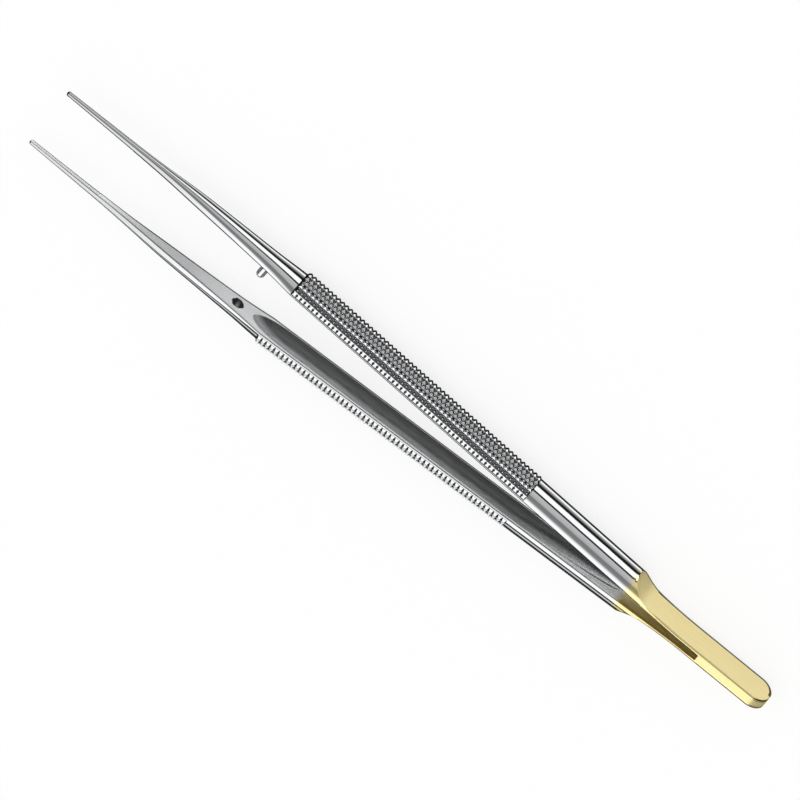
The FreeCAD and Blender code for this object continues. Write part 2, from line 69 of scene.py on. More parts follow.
# %% Camera
IMAGE_SIDE = 800
PIXELS_PER_MM = 5.1417
MIDDLE_PIXEL = (407.85, 409.2)
AXIS_IN_PICTURE = (-0.77525, 0.63165)
VIEW_TILT = math.radians(36.0)
LENS = 600.0
SENSOR = 36.0

toward_camera = Vector((0, -math.sin(VIEW_TILT), math.cos(VIEW_TILT)))
across_axis = Vector((0, -math.cos(VIEW_TILT), -math.sin(VIEW_TILT)))
along_axis = Vector((1, 0, 0))
picture_right = AXIS_IN_PICTURE[0] * along_axis + AXIS_IN_PICTURE[1] * across_axis
picture_up = AXIS_IN_PICTURE[1] * along_axis - AXIS_IN_PICTURE[0] * across_axis

picture_side = IMAGE_SIDE / PIXELS_PER_MM * MM
camera_distance = LENS / SENSOR * picture_side
tail_low, tail_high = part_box("tail_spacer")
middle = Vector((0, 0, (tail_low.z + tail_high.z) / 2))
off_right = (MIDDLE_PIXEL[0] - IMAGE_SIDE / 2) / PIXELS_PER_MM * MM
off_down = (MIDDLE_PIXEL[1] - IMAGE_SIDE / 2) / PIXELS_PER_MM * MM

camera_data = bpy.data.cameras.new("camera")
camera_data.lens = LENS
camera_data.sensor_width = SENSOR
camera_data.clip_start = 0.01
camera = bpy.data.objects.new("camera", camera_data)
bpy.context.scene.collection.objects.link(camera)
aim = middle - off_right * picture_right + off_down * picture_up
turn = Matrix((picture_right, picture_up, toward_camera)).transposed().to_4x4()
camera.matrix_world = Matrix.Translation(aim + camera_distance * toward_camera) @ turn
bpy.context.scene.camera = camera
print("camera", round(camera_distance, 3), "m away")

# %% [markdown]
# ## The arm as one skin
# On the real forceps each arm is a single forging, from the tail to the tip. It
# could be cut from a cylinder with booleans, but the hollow, the scoop and the
# knurl all meet on it, and cut faces shade badly on polished metal. So the skin
# is one grid that is rolled into the bar: its rows are stations along the arm and
# its columns go once round the section. Every section is the same shape in other
# sizes: a flat inner face, two short flat sides and a round back.

# %% Sizes of the arm, in millimetres from the bend of its flat spring
HAIRLINE = 0.02
flex_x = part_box("pin_arm_tail")[1].x / MM + HAIRLINE
tail_end_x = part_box("tail_spacer")[0].x / MM
HALF_HEIGHT = middle.z / MM
OPENING = math.radians(2.95)
REACH = 158.2

# The bar: its width, its height over the inner face, and the height of its flat side.
WIDTH = 7.2
BAR = (WIDTH, 3.8, 0.3)

# The rounding of the inner face's edges, and the width of the dark line painted beside an
# edge as shade.
EASE = 0.2
PAINTED_LINE_WIDTH = 0.38

# The tail, the flat spring and the scoop ground into the bar.
LEAF = 0.6
SPACER_HALF = 0.675
TAIL_BACK = flex_x - tail_end_x
TAIL_ROUND = 3.3
TAIL_EDGE = 0.3
GROUND_EDGE = 0.02
SLOT_END = -6.0
LEAF_RUN = 6.6
SCOOP = 6.4
CREST = LEAF_RUN + SCOOP

# The knurl, and the small fillet in front of its shoulder.
KNURL = (39.4, 99.8)
STUDS = 58
STUD_ROWS = 10
STUD_RISE = 0.37
STUD_SINK = 0.08
MARGIN = 0.15
FILLET = 0.3

# The hollow: a round channel, led out of the face behind and ended by a nose.
HOLLOW = {"start": 14.0, "taper": 24.0, "end": 103.1, "nose": 8.4,
          "width": 5.9, "depth": 2.55}

# The tips, and how far the inner face turns in towards them.
TIP_ROUND = 0.45
SERRATION = (141.0, 157.4)
TEETH = 30
TOOTH_DEPTH = 0.11
TURN_IN = (math.radians(1.35), math.radians(2.45))
TURN_RUN = 4.0

# Station, width, height and flat side of the tapered front.
FRONT = [
    (KNURL[1], 7.16, 3.3, 0.3),
    (106.6, 5.45, 2.95, 0.3),
    (115.0, 4.28, 2.7, 0.5),
    (124.5, 3.15, 2.4, 0.8),
    (134.5, 1.8, 1.75, 0.95),
    (139.5, 1.47, 1.47, 0.83),
    (146.0, 1.25, 1.25, 0.7),
    (REACH, 0.92, 0.88, 0.5),
]


def lerp(a, b, u):
    return a + (b - a) * u


def smooth_curve(knots, at):
    """Value at a station on a smooth curve through knots, which never overshoots."""
    if at <= knots[0][0]:
        return knots[0][1]
    if at >= knots[-1][0]:
        return knots[-1][1]
    slopes = [(v1 - v0) / (s1 - s0) for (s0, v0), (s1, v1) in zip(knots, knots[1:])]
    tangents = [slopes[0]]
    for before, after in zip(slopes, slopes[1:]):
        mean = 2 * before * after / (before + after) if before * after > 0 else 0.0
        tangents.append(mean)
    tangents.append(slopes[-1])
    for number in range(len(slopes)):
        s0, v0 = knots[number]
        s1, v1 = knots[number + 1]
        if at <= s1:
            run = s1 - s0
            u = (at - s0) / run
            return ((2 * u ** 3 - 3 * u ** 2 + 1) * v0 + (u ** 3 - 2 * u ** 2 + u) * run
                    * tangents[number] + (3 * u ** 2 - 2 * u ** 3) * v1
                    + (u ** 3 - u ** 2) * run * tangents[number + 1])


def turned_in(at):
    """How far the inner face has come in from the handle's line at a station."""
    first, last = math.tan(TURN_IN[0]), math.tan(TURN_IN[1])
    past = at - KNURL[1] - TURN_RUN
    if at < KNURL[1]:
        return 0.0
    if past < 0:
        return first * (at - KNURL[1]) ** 2 / (2 * TURN_RUN)
    long_run = REACH - KNURL[1] - TURN_RUN
    return (first * TURN_RUN / 2 + first * past
            + (last - first) * past ** 2 / (2 * long_run))


def hollow(at):
    """Radius of the round channel at a station, and how far its axis lies outside.

    Towards the tail the axis is led out of the face, and the front ends in a nose.
    """
    radius = ((HOLLOW["width"] / 2) ** 2 + HOLLOW["depth"] ** 2) / (2 * HOLLOW["depth"])
    outside = radius - HOLLOW["depth"]
    out_from = HOLLOW["start"] + HOLLOW["taper"]
    nose_from = HOLLOW["end"] - HOLLOW["nose"]
    if at < out_from:
        outside += (out_from - at) * HOLLOW["depth"] / HOLLOW["taper"]
    if at > nose_from:
        u = min((at - nose_from) / HOLLOW["nose"], 1.0)
        radius *= math.sqrt(1 - u * u)
    return radius, outside


print("the arm is", round(REACH + TAIL_BACK, 1), "mm long")

# %% [markdown]
# ## One section
# A section is a closed run of points, always as many, so that the grid stays
# whole. On the inner face they follow the rim and the hollow, and where there is no
# hollow its points close up to one. On the round back they lie where the knurl needs
# them, and at the scoop they stop at the ground face, so that its edge is crisp.

# %% Points of one section
RIM = 3
CHANNEL = 24
STRIP = 2
ROW = 4
BACK = 2 * STRIP + STUD_ROWS * ROW
BACK_SIDE = 14
FACE = 2 * RIM + CHANNEL
AROUND = FACE + 6 + BACK
LEAF_TOP = BAR[2] + 0.4
EDGE_FADE_START, EDGE_FADE_RUN = 3.0, 4.8
SETTLE_RUN = 14.0
RIM_BEND = 0.3
STUD_SLOPE, STUD_BLUNT = 1.06, 0.08


def half_width(at):
    """Half the width of the arm at a station."""
    from_end = at + TAIL_BACK
    if from_end < TAIL_ROUND:
        return WIDTH / 2 - TAIL_ROUND + math.sqrt(
            max(TAIL_ROUND ** 2 - (TAIL_ROUND - from_end) ** 2, 0.0))
    if at <= KNURL[1]:
        return WIDTH / 2
    return smooth_curve([(s, w) for s, w, h, f in FRONT], at) / 2


def bar_height(at):
    """Height over the inner face, with a small fillet in front of the shoulder."""
    if at <= KNURL[1]:
        return BAR[1]
    past = at - KNURL[1]
    lift = 0.0
    if past < FILLET:
        lift = FILLET - math.sqrt(FILLET ** 2 - (FILLET - past) ** 2)
    return smooth_curve([(s, h) for s, w, h, f in FRONT], at) + lift


def flat_side(at):
    """Height of the flat side at a station."""
    return smooth_curve([(s, f) for s, w, h, f in FRONT], at)


def rim_rounding(half):
    """Rounding of the inner face's edges, smaller on the slim tips."""
    return min(EASE, half * 0.2)


def ground_face(at):
    """Height of the flat spring and the scoop over the inner face."""
    if at <= LEAF_RUN:
        return LEAF
    climb = BAR[1] - LEAF
    radius = (SCOOP ** 2 + climb ** 2) / (2 * climb)
    run = min(at - LEAF_RUN, SCOOP)
    return LEAF + radius - math.sqrt(radius ** 2 - run ** 2)


def round_back(width, height, flank):
    """Centre, radius and half angle of the round back."""
    rise = height - flank
    radius = ((width / 2) ** 2 + rise ** 2) / (2 * rise)
    return height - radius, radius, math.atan2(width / 2, flank - (height - radius))


def back_shares():
    """Where each point of the round back lies, as a share of its arc from one side."""
    centre, radius, sweep = round_back(*BAR)
    strip = MARGIN / (2 * sweep * radius)
    rows = STUD_ROWS * ROW
    shares = [strip * n / STRIP for n in range(STRIP)]
    shares += [strip + (1 - 2 * strip) * n / rows for n in range(rows)]
    shares += [1 - strip + strip * n / STRIP for n in range(STRIP + 1)]
    return shares


SHARES = back_shares()


def stud(number, at):
    """How far up its stud a point of the back lies, from 0 in the valley to 1."""
    if number < STRIP or number > len(SHARES) - 1 - STRIP:
        return None
    u = (number - STRIP) / ROW
    v = (at - KNURL[0]) / (KNURL[1] - KNURL[0]) * STUDS
    a = 1 - abs(2 * (u - math.floor(u)) - 1)
    b = 1 - abs(2 * (v - math.floor(v)) - 1)
    return min(a, b)


def stud_height(peak):
    """A four-sided stud, a pyramid with a slightly blunt top."""
    return -STUD_SINK + (STUD_RISE + STUD_SINK) * (STUD_SLOPE * peak - STUD_BLUNT * peak ** 2)


def tooth(at):
    """How deep in a fine tooth of the tip's inner face a station lies, from 0 to 1."""
    if not SERRATION[0] <= at <= SERRATION[1]:
        return 0.0
    share = (at - SERRATION[0]) / (SERRATION[1] - SERRATION[0]) * TEETH
    return 1 - abs(2 * (share - math.floor(share)) - 1)


def inner_points(at, half, ease):
    """The flat inner face and the hollow in it, from one side to the other."""
    radius, outside = hollow(at)
    open_half = math.sqrt(max(radius ** 2 - outside ** 2, 0.0))
    edge = half - ease
    lip = min(open_half, edge - 0.02)
    low = TOOTH_DEPTH * tooth(at)
    points = [(low, lerp(edge, lip, n / RIM)) for n in range(RIM)]
    for n in range(CHANNEL):
        z = lip * math.cos(math.pi * n / CHANNEL)
        depth = math.sqrt(max(radius ** 2 - z * z, 0.0)) - outside if lip > 0 else 0.0
        points.append((max(depth, low), z))
    points += [(low, -lerp(lip, edge, n / RIM)) for n in range(RIM)]
    return points + [(low, -edge)]


def leaf_back(number, cap, bevel, half):
    """A point of the flat back of the spring, with rounded edges."""
    last = len(SHARES) - 1
    near = min(number, last - number)
    side = -1 if number < last / 2 else 1
    if near <= BACK_SIDE:
        angle = math.pi / 2 * near / BACK_SIDE
        return (cap - bevel + bevel * math.sin(angle),
                side * (half - bevel + bevel * math.cos(angle)))
    u = (number - BACK_SIDE) / (last - 2 * BACK_SIDE)
    return cap, lerp(-(half - bevel), half - bevel, u)


def round_point(number, at, cap, height, back):
    """A point of the round back, or of the ground face where that is lower."""
    centre, radius, sweep = back
    last = len(SHARES) - 1
    near = min(number, last - number)
    side = -1 if number < last / 2 else 1
    if cap < height - 1e-6:
        meet = math.acos(min((cap - centre) / radius, 1.0))
        if near > BACK_SIDE:
            u = (number - BACK_SIDE) / (last - 2 * BACK_SIDE)
            return cap, lerp(-math.sin(meet), math.sin(meet), u) * radius
        angle = side * lerp(sweep, meet, near / BACK_SIDE)
        return centre + radius * math.cos(angle), radius * math.sin(angle)
    gathered = side * lerp(sweep, 0.0, min(near / BACK_SIDE, 1.0))
    settle = min(max((at - CREST) / SETTLE_RUN, 0.0), 1.0)
    angle = lerp(gathered, lerp(-sweep, sweep, SHARES[number]), settle)
    if KNURL[0] <= at <= KNURL[1] and stud(number, at) is not None:
        radius += stud_height(stud(number, at))
    across = radius * math.sin(angle)
    return centre + radius * math.cos(angle), min(max(across, -WIDTH / 2), WIDTH / 2)


def section(at):
    """Points (outward, across) of the section at a station, in millimetres."""
    half = half_width(at)
    height = bar_height(at)
    cap = ground_face(at)
    ease = rim_rounding(half) * min(max((at - SLOT_END) / 2.0, 0.02), 1.0)
    points = inner_points(at, half, ease)
    points += [(points[-1][0] + ease * RIM_BEND, -half + ease * RIM_BEND), (ease, -half)]
    back = round_back(2 * half, height, flat_side(at))
    fade = min(max((at - EDGE_FADE_START) / EDGE_FADE_RUN, 0.0), 1.0)
    bevel = lerp(TAIL_EDGE, GROUND_EDGE, fade * fade * (3 - 2 * fade))
    for number in range(len(SHARES)):
        if cap < LEAF_TOP:
            points.append(leaf_back(number, cap, bevel, half))
        else:
            points.append(round_point(number, at, cap, height, back))
    points += [(ease, half), (points[0][0] + ease * RIM_BEND, half - ease * RIM_BEND)]
    past = (at - REACH + TIP_ROUND) / TIP_ROUND
    size = math.sqrt(max(1 - past * past, 0.0)) if past > 0 else 1.0
    core = height * 0.5
    return [(core + (y - core) * size - turned_in(at), z * size) for y, z in points]


print("points round the section:", len(section(50.0)), "of", AROUND)

# %% [markdown]
# ## Stations
# Stations are close together where the form changes fast: at the round end of the
# tail, at the scoop, at both ends of the hollow, on every flank of the knurl's studs
# and on the teeth of the tips. Elsewhere the arm is straight and needs few.

# %% Stations along the arm


def spread(start, end, count, power=1.0):
    """Stations from start up to end, without the last, closer at the start."""
    return [lerp(start, end, (n / count) ** power) for n in range(count)]


def stations():
    radius, outside = hollow(60.0)
    nose_from = HOLLOW["end"] - HOLLOW["nose"]
    nose_tip = nose_from + HOLLOW["nose"] * math.sqrt(1 - (outside / radius) ** 2)
    rows = [TAIL_ROUND * (1 - math.cos(math.pi / 2 * n / 14)) - TAIL_BACK
            for n in range(14)]
    rows += spread(TAIL_ROUND - TAIL_BACK, -4.0, 5)
    rows += spread(-4.0, LEAF_RUN, 10)
    rows += spread(LEAF_RUN, CREST, 30)
    rows += [CREST, (CREST + HOLLOW["start"]) / 2]
    rows += spread(HOLLOW["start"], KNURL[0], 44, 2.0)
    rows.append(KNURL[0] - 0.001)
    rows += spread(KNURL[0], KNURL[1], STUDS * ROW)
    rows += [KNURL[1]] + spread(KNURL[1] + 0.001, KNURL[1] + FILLET, 5)
    rows += spread(KNURL[1] + FILLET, nose_tip - 1.0, 8)
    rows += [nose_tip - 1.0 * (1 - n / 12) ** 2 for n in range(13)]
    rows += spread(nose_tip + 0.4, SERRATION[0], 34)
    rows += spread(SERRATION[0], SERRATION[1], TEETH * 4)
    rows.append(SERRATION[1])
    rows += [REACH - TIP_ROUND * (1 - math.sin(math.pi / 2 * n / 8)) for n in range(9)]
    return rows


STATIONS = stations()
print("stations:", len(STATIONS))

# %% [markdown]
# ## Rolling the grid
# A grid primitive has one vertex for every station and every point of a section.
# Each vertex is laid on the arm: first on the straight arm, then round the bend of
# the flat spring, where the handle turns away from the tail. The seam is merged and
# the two ends are filled, which makes one closed skin. The faces of a stud are split
# along its ridges, and the edges of the hollow and of the scoop are kept crisp. Three
# attributes tell the metal what a point lies on: how clear it is of painted shade,
# from the depth of a groove up, whether it is a polished edge, and how far it is from
# a dark line painted along an edge.

# %% Roll a grid into an arm
BEND_HALF = 3.0
SEAM = 0.002 * MM
POLISHED, SATIN, DARK = 0, 1, 2
# Half-width and fade of the strip along the hollow's bottom that is left clear of painted
# shade; the walls beside it are painted dark.
STRIP_EDGE, STRIP_FADE = 1.9, 0.8
# Where the painted dark edge lines start along the arm, the shares clear of them on the faces
# and the back, and the offset of the softer painted line.
PAINTED_LINE_START = 9.0
CLEAR_FACE, CLEAR_BACK, SOFT_PAINTED_SHARE = 3.0, 2.0, 0.9


def along_bend(s, out):
    """Place of a point on the bent arm, from its place on the straight one."""
    out -= LEAF / 2
    if s <= -BEND_HALF:
        return s, out + LEAF / 2
    if s >= BEND_HALF:
        return (s * math.cos(OPENING) - out * math.sin(OPENING),
                s * math.sin(OPENING) + out * math.cos(OPENING) + LEAF / 2)
    radius = 2 * BEND_HALF / OPENING
    angle = (s + BEND_HALF) / radius
    return (-BEND_HALF + (radius - out) * math.sin(angle),
            radius - (radius - out) * math.cos(angle) + LEAF / 2)


def on_knurl(column, row):
    number = column - FACE - 3
    return (STRIP <= number < STRIP + STUD_ROWS * ROW
            and KNURL[0] <= STATIONS[row] < KNURL[1])


def clear_of_painted_shade(column, at):
    """How clear of painted shade a point is: 1 where there is none, down to 0 in a groove.

    Grooves are the valleys of the knurl and the teeth, and the corner at the shoulder,
    all painted dark as shade. In the hollow its walls are painted dark as shade and
    the strip along its bottom is left clear.
    """
    number = column - FACE - 3
    on_back = 0 <= number < len(SHARES)
    if on_back and KNURL[0] <= at <= KNURL[1] + 0.01:
        peak = stud(number, min(at, KNURL[1]))
        return 0.5 if peak is None else min(peak * 2.0, 1.0)
    # The shoulder's fillet is painted dark as shade for its first part.
    if on_back and KNURL[1] < at < KNURL[1] + FILLET:
        return max(2.5 * (at - KNURL[1]) / FILLET - 1.5, 0.0)
    if RIM <= column <= RIM + CHANNEL and HOLLOW["start"] <= at:
        z = abs(hollow(at)[0] * math.cos(math.pi * (column - RIM) / CHANNEL))
        if at < HOLLOW["end"]:
            return min(max((STRIP_EDGE - z) / STRIP_FADE, 0.0), 1.0)
        return 1.0
    if column <= FACE and SERRATION[0] <= at <= SERRATION[1]:
        return 1 - tooth(at)
    return 1.0


def edge_polish(column, at):
    """1 on the rounded edges, which are polished also where the faces are satin."""
    number = column - FACE - 3
    if number < 0 or number >= len(SHARES):
        return 1.0 if column > FACE or column == 0 else 0.0
    near = min(number, len(SHARES) - 1 - number)
    return 1.0 if 0 < near < BACK_SIDE else 0.0


def from_outline(at, across):
    """Distance from the outline of the tail and the flat spring."""
    if at + TAIL_BACK >= TAIL_ROUND:
        return half_width(at) - abs(across)
    beyond = max(abs(across) - WIDTH / 2 + TAIL_ROUND, 0.0)
    return TAIL_ROUND - math.hypot(TAIL_ROUND - at - TAIL_BACK, beyond)


def painted_line_share(column, at, across, side):
    """0 on the painted dark line along an edge, and more than 1 clear of it."""
    half = half_width(at)
    line = min(PAINTED_LINE_WIDTH, 0.3 * half)
    number = column - FACE - 3
    if 0 <= number < len(SHARES):
        near = min(number, len(SHARES) - 1 - number)
        cap = ground_face(at)
        if cap > BAR[1] - 0.01:
            return CLEAR_BACK if near > 0 else flat_side(at) / BAR[2]
        # One diagonal pair of edges gets the full painted dark line, the other a softer one.
        soft = 0.0 if across * side > 0 else SOFT_PAINTED_SHARE
        if cap <= LEAF_TOP:
            return soft + max(from_outline(at, across) - TAIL_EDGE, 0.0) / line
        if near < BACK_SIDE:
            return 0.0 if soft == 0 and near > BACK_SIDE - 3 else CLEAR_BACK
        centre, radius, sweep = round_back(*BAR)
        edge = math.sqrt(radius ** 2 - (cap - centre) ** 2)
        return soft + max(edge - abs(across), 0.0) / line
    if across * side > 0 or at < PAINTED_LINE_START:
        return CLEAR_FACE
    return max(half - rim_rounding(half) - abs(across), 0.0) / line


def crisp(column, at):
    """Whether the line at this column is an edge that stays crisp."""
    if column in (RIM, RIM + CHANNEL):
        return HOLLOW["start"] <= at <= HOLLOW["end"]
    number = column - FACE - 3
    return LEAF_RUN + 1.3 < at < CREST and number in (BACK_SIDE, len(SHARES) - 1 - BACK_SIDE)


def dress_grid(skin, side):
    """Lay the grid on the arm, and note each face's finish and each crisp edge."""
    mesh = skin.data
    last_row = len(STATIONS) - 1
    place = [(round((v.co.x + 0.5) * AROUND), round((v.co.y + 0.5) * last_row))
             for v in mesh.vertices]
    studs = []
    for polygon in mesh.polygons:
        column = min(place[v][0] for v in polygon.vertices)
        row = min(place[v][1] for v in polygon.vertices)
        finish = SATIN if column < FACE else POLISHED
        if RIM <= column < RIM + CHANNEL and STATIONS[row] > HOLLOW["start"] - 0.01:
            finish = DARK
        polygon.material_index = finish
        if on_knurl(column, row):
            studs.append(polygon.index)
    sharp = mesh.attributes.new("sharp_edge", "BOOLEAN", "EDGE")
    for edge in mesh.edges:
        (c0, r0), (c1, r1) = place[edge.vertices[0]], place[edge.vertices[1]]
        sharp.data[edge.index].value = c0 == c1 and crisp(c0, STATIONS[min(r0, r1)])
    opened = mesh.attributes.new("clear_of_painted_shade", "FLOAT", "POINT")
    edges = mesh.attributes.new("edge_polish", "FLOAT", "POINT")
    lines = mesh.attributes.new("painted_outline_shade", "FLOAT", "POINT")
    rings = [section(at) for at in STATIONS]
    for vertex, (column, row) in zip(mesh.vertices, place):
        column %= AROUND
        out, across = rings[row][column]
        x, y = along_bend(STATIONS[row], out)
        vertex.co = Vector((flex_x + x, side * (SPACER_HALF + y),
                            HALF_HEIGHT + across)) * MM
        opened.data[vertex.index].value = clear_of_painted_shade(column, STATIONS[row])
        edges.data[vertex.index].value = edge_polish(column, STATIONS[row])
        lines.data[vertex.index].value = painted_line_share(column, STATIONS[row], across, side)
    return studs


def roll_arm(name, side):
    """One arm's skin. Side is 1 for the arm on +Y and -1 for its mirror image."""
    bpy.ops.object.select_all(action="DESELECT")
    bpy.ops.mesh.primitive_grid_add(x_subdivisions=AROUND,
                                    y_subdivisions=len(STATIONS) - 1, size=1)
    skin = bpy.context.active_object
    skin.name = name
    studs = dress_grid(skin, side)
    bpy.ops.object.mode_set(mode="EDIT")
    bpy.ops.mesh.select_mode(type="FACE")
    bpy.ops.mesh.select_all(action="DESELECT")
    bpy.ops.object.mode_set(mode="OBJECT")
    for number in studs:
        skin.data.polygons[number].select = True
    bpy.ops.object.mode_set(mode="EDIT")
    bpy.ops.mesh.quads_convert_to_tris(quad_method="LONGEST_DIAGONAL")
    bpy.ops.mesh.select_mode(type="VERT")
    bpy.ops.mesh.select_all(action="SELECT")
    bpy.ops.mesh.remove_doubles(threshold=SEAM)
    bpy.ops.mesh.select_all(action="DESELECT")
    bpy.ops.mesh.select_non_manifold()
    bpy.ops.mesh.fill()
    bpy.ops.mesh.select_all(action="SELECT")
    bpy.ops.mesh.normals_make_consistent(inside=False)
    bpy.ops.object.mode_set(mode="OBJECT")
    bpy.ops.object.shade_smooth_by_angle(angle=math.radians(30), keep_sharp_edges=True)
    print(name, len(skin.data.polygons), "faces,", len(studs), "on the knurl")
    return skin


pin_skin = roll_arm("pin_arm_skin", -1)
hole_skin = roll_arm("hole_arm_skin", 1)

# %% [markdown]
# ## Guide pin and guide hole
# The pin is a turned rod with a ball end. A sphere whose lower half is pulled down
# to the arm makes it in one piece. The hole is drilled through the other arm with a
# boolean cutter, just as a drill would, and the cutter's material is left on its wall:
# a dark steel, whose darkness is painted shade inside the bore.

# %% Guide pin and guide hole
PIN_STATION = 106.8
PIN_RADIUS = 0.9
PIN_REACH = 3.9
PIN_SEAT = 1.2
HOLE_RADIUS = 1.275
bore_metal_painted_dark = bpy.data.materials.new("bore_steel_painted_dark")


def on_arm(s, out, side):
    x, y = along_bend(s, out)
    return Vector((flex_x + x, side * (SPACER_HALF + y), HALF_HEIGHT)) * MM


def square_to_arm(side):
    """Turn that lays Z along the way out of an arm."""
    outward = on_arm(PIN_STATION, 1.0, side) - on_arm(PIN_STATION, 0.0, side)
    return outward.to_track_quat("Z", "X")


def drill_hole(skin, side):
    """Drill the guide hole through one arm."""
    face = -turned_in(PIN_STATION)
    bpy.ops.object.select_all(action="DESELECT")
    bpy.ops.mesh.primitive_cylinder_add(
        vertices=64, radius=HOLE_RADIUS * MM, depth=12 * MM,
        location=on_arm(PIN_STATION, face + 1.5, side),
        rotation=square_to_arm(side).to_euler())
    drill = bpy.context.active_object
    drill.data.materials.append(bore_metal_painted_dark)
    cut = skin.modifiers.new("hole", "BOOLEAN")
    cut.operation = "DIFFERENCE"
    cut.solver = "EXACT"
    cut.material_mode = "TRANSFER"
    cut.object = drill
    bpy.context.view_layer.objects.active = skin
    bpy.ops.object.modifier_apply(modifier="hole")
    bpy.data.objects.remove(drill)
    skin.select_set(True)
    bpy.ops.object.shade_smooth_by_angle(angle=math.radians(30), keep_sharp_edges=True)


def turn_pin(side):
    """The guide pin, from a sphere whose lower half goes down into the arm."""
    face = -turned_in(PIN_STATION)
    bpy.ops.object.select_all(action="DESELECT")
    bpy.ops.mesh.primitive_uv_sphere_add(segments=48, ring_count=24,
                                         radius=PIN_RADIUS * MM)
    pin = bpy.context.active_object
    pin.name = "guide_pin_turned"
    bpy.ops.object.mode_set(mode="EDIT")
    bpy.ops.mesh.select_all(action="DESELECT")
    bpy.ops.object.mode_set(mode="OBJECT")
    for vertex in pin.data.vertices:
        vertex.select = vertex.co.z > 0.001 * MM
    bpy.ops.object.mode_set(mode="EDIT")
    bpy.ops.mesh.delete(type="VERT")
    bpy.ops.mesh.select_all(action="DESELECT")
    bpy.ops.mesh.select_non_manifold()
    bpy.ops.mesh.extrude_region_move(TRANSFORM_OT_translate={
        "value": (0, 0, (PIN_REACH - PIN_RADIUS + PIN_SEAT) * MM)})
    bpy.ops.mesh.fill()
    bpy.ops.mesh.select_all(action="SELECT")
    bpy.ops.mesh.normals_make_consistent(inside=False)
    bpy.ops.object.mode_set(mode="OBJECT")
    tip = on_arm(PIN_STATION, face - PIN_REACH + PIN_RADIUS, side)
    pin.data.transform(Matrix.Translation(tip) @ square_to_arm(side).to_matrix().to_4x4())
    bpy.ops.object.shade_smooth_by_angle(angle=math.radians(40))
    return pin


# %% [markdown]
# ## Steel and gold
# The arms are stainless steel, ground and polished lengthwise, and the tail is
# plated with satin gold up to the start of the bar. Each finish is one material
# that holds both metals, because the plating has no edge of its own: it fades out
# over a millimetre. The round back is polished, the inner face is satin, and the
# milled hollow is dull. Shade is painted into the colour: dark on the hollow's walls,
# in the knurl's valleys, in the teeth and at the shoulder, while the strip along the
# hollow's bottom is left clear and so brighter. A satin face scatters most of its
# light, which is why it is less metallic here. Ground edges look like thin dark lines
# in a white room, so a dark line is painted along the outer ones. The lightness along
# the front is painted shade and light too. The grinding is fine noise drawn out along
# the arm.

# %% Materials
GOLD_COLOUR = (0.93, 0.79, 0.38)
PAINTED_LINE_SHADE = (0.06, 0.06, 0.06, 1)
PAINTED_LINE_CORE = 0.7
EDGE_ROUGHNESS = 0.16
PLATED_TO = (12.3, 13.9)


def node(tree, kind, **values):
    made = tree.nodes.new(kind)
    for name, setting in values.items():
        setattr(made, name, setting)
    return made


def grey(level):
    return (level, level, level, 1)


def grinding(tree, stretch, scale):
    """Noise drawn out along the arm."""
    coords = node(tree, "ShaderNodeTexCoord")
    mapping = node(tree, "ShaderNodeMapping")
    mapping.inputs["Scale"].default_value = stretch
    noise = node(tree, "ShaderNodeTexNoise")
    noise.inputs["Scale"].default_value = scale
    noise.inputs["Detail"].default_value = 4
    tree.links.new(coords.outputs["Object"], mapping.inputs["Vector"])
    tree.links.new(mapping.outputs["Vector"], noise.inputs["Vector"])
    return coords, noise


def ramp(tree, source, stops):
    """Colour ramp from a value."""
    made = node(tree, "ShaderNodeValToRGB")
    elements = made.color_ramp.elements
    elements[0].position, elements[0].color = stops[0]
    elements[1].position, elements[1].color = stops[-1]
    for position, colour in stops[1:-1]:
        elements.new(position).color = colour
    tree.links.new(source, made.inputs["Fac"])
    return made


def times(tree, a, b):
    """Product of two colours."""
    made = node(tree, "ShaderNodeMix", data_type="RGBA", blend_type="MULTIPLY")
    made.inputs[0].default_value = 1.0
    tree.links.new(a, made.inputs[6])
    tree.links.new(b, made.inputs[7])
    return made.outputs[2]


def blend_by(tree, factor, a, b):
    """Value that goes from a to b with a factor."""
    made = node(tree, "ShaderNodeMix", data_type="FLOAT")
    tree.links.new(factor, made.inputs[0])
    for socket, source in ((made.inputs[2], a), (made.inputs[3], b)):
        if isinstance(source, float):
            socket.default_value = source
        else:
            tree.links.new(source, socket)
    return made.outputs[0]


def start_metal(name, grain):
    """A material with its shader, its coordinates and the streaks of its grinding."""
    material = bpy.data.materials.get(name) or bpy.data.materials.new(name)
    material.use_nodes = True
    tree = material.node_tree
    coords, noise = grinding(tree, (0.02, 1.0, 1.0), 9000)
    streaks = ramp(tree, noise.outputs["Fac"], [(0.3, grey(1 - grain)), (0.7, grey(1.0))])
    return material, tree, tree.nodes["Principled BSDF"], coords, streaks


def plain_metal(name, colour, metallic, roughness, grain=0.12):
    """One metal with one finish."""
    material, tree, shader, coords, streaks = start_metal(name, grain)
    low = tuple(c * (1 - grain) for c in colour) + (1,)
    tint = ramp(tree, streaks.outputs["Color"],
                [(1 - grain, low), (1.0, tuple(colour) + (1,))])
    tree.links.new(tint.outputs["Color"], shader.inputs["Base Color"])
    shader.inputs["Metallic"].default_value = metallic
    shader.inputs["Roughness"].default_value = roughness
    return material


